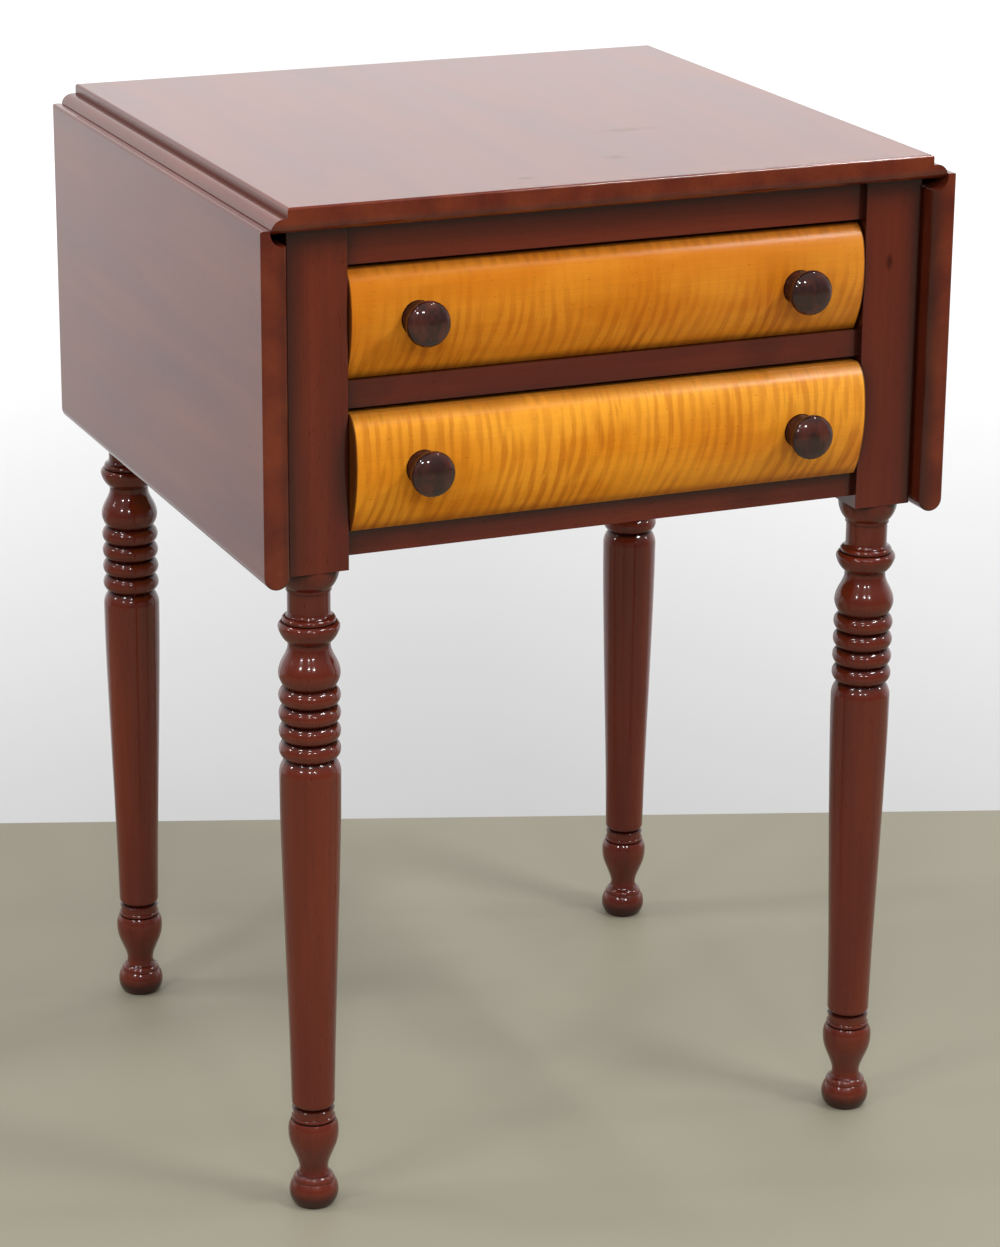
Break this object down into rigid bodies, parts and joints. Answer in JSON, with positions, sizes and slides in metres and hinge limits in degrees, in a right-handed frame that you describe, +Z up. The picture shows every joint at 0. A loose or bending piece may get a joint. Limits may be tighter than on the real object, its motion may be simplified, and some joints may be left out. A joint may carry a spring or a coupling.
{
  "type": "drop-leaf side table",
  "caption": "Side table on turned legs with bowed maple drawers and a leaf on each side that hangs from a rule joint and swings up level with the top.",
  "frame": {"origin": "on the floor, under the middle of the table's whole box with its knobs and hanging leaves", "axes": "+X to the right as seen from the front, +Y to the back, +Z up"},
  "size_m": [0.513, 0.4908, 0.732],
  "materials": {
    "cherry": "red-brown stain under a glossy varnish",
    "curly_maple": "amber varnish over curly figure",
    "knob_wood": "dark polished",
    "poplar": "bare planed",
    "iron": "dull, dark with age"
  },
  "bodies": {
    "frame": {"back_panel": "cherry", "bottom_rail": "cherry", "bracket_pin_left": "iron", "bracket_pin_right": "iron", "drawer_runner_lower_left": "poplar", "drawer_runner_lower_right": "poplar", "drawer_runner_upper_left": "poplar", "drawer_runner_upper_right": "poplar", "drawer_stops": "poplar", "fly_bracket_left": "poplar", "fly_bracket_right": "poplar", "hinge_pin_front_left": "iron", "hinge_pin_front_right": "iron", "hinge_pin_rear_left": "iron", "hinge_pin_rear_right": "iron", "hinge_top_plate_front_left": "iron", "hinge_top_plate_front_right": "iron", "hinge_top_plate_rear_left": "iron", "hinge_top_plate_rear_right": "iron", "hinge_top_screws": "iron", "kicker_left": "poplar", "kicker_right": "poplar", "leg_front_left": "cherry", "leg_front_right": "cherry", "leg_rear_left": "cherry", "leg_rear_right": "cherry", "middle_rail": "cherry", "runner_nails": "iron", "side_panel_left": "cherry", "side_panel_right": "cherry", "table_top": "cherry", "top_rail": "cherry", "top_screws": "iron"},
    "left_leaf": {"hinge_leaf_plate_front_left": "iron", "hinge_leaf_plate_rear_left": "iron", "hinge_leaf_screws_left": "iron", "leaf_left": "cherry"},
    "right_leaf": {"hinge_leaf_plate_front_right": "iron", "hinge_leaf_plate_rear_right": "iron", "hinge_leaf_screws_right": "iron", "leaf_right": "cherry"},
    "upper_drawer": {"upper_drawer_back": "poplar", "upper_drawer_bottom": "poplar", "upper_drawer_front": "curly_maple", "upper_drawer_knob_left": "knob_wood", "upper_drawer_knob_right": "knob_wood", "upper_drawer_nails": "iron", "upper_drawer_side_left": "poplar", "upper_drawer_side_right": "poplar"},
    "lower_drawer": {"lower_drawer_back": "poplar", "lower_drawer_bottom": "poplar", "lower_drawer_front": "curly_maple", "lower_drawer_knob_left": "knob_wood", "lower_drawer_knob_right": "knob_wood", "lower_drawer_nails": "iron", "lower_drawer_side_left": "poplar", "lower_drawer_side_right": "poplar"}
  },
  "joints": [
    {"name": "left_leaf_hinge", "type": "hinge", "parent": "frame", "child": "left_leaf", "pos_m": [-0.2405, 0.0124, 0.716], "axis": [0, 1, 0], "range_deg": [0, 90]},
    {"name": "right_leaf_hinge", "type": "hinge", "parent": "frame", "child": "right_leaf", "pos_m": [0.2405, 0.0124, 0.716], "axis": [0, -1, 0], "range_deg": [0, 90]},
    {"name": "upper_drawer_slide", "type": "slide", "parent": "frame", "child": "upper_drawer", "axis": [0, -1, 0], "range_m": [0, 0.3]},
    {"name": "lower_drawer_slide", "type": "slide", "parent": "frame", "child": "lower_drawer", "axis": [0, -1, 0], "range_m": [0, 0.3]}
  ]
}
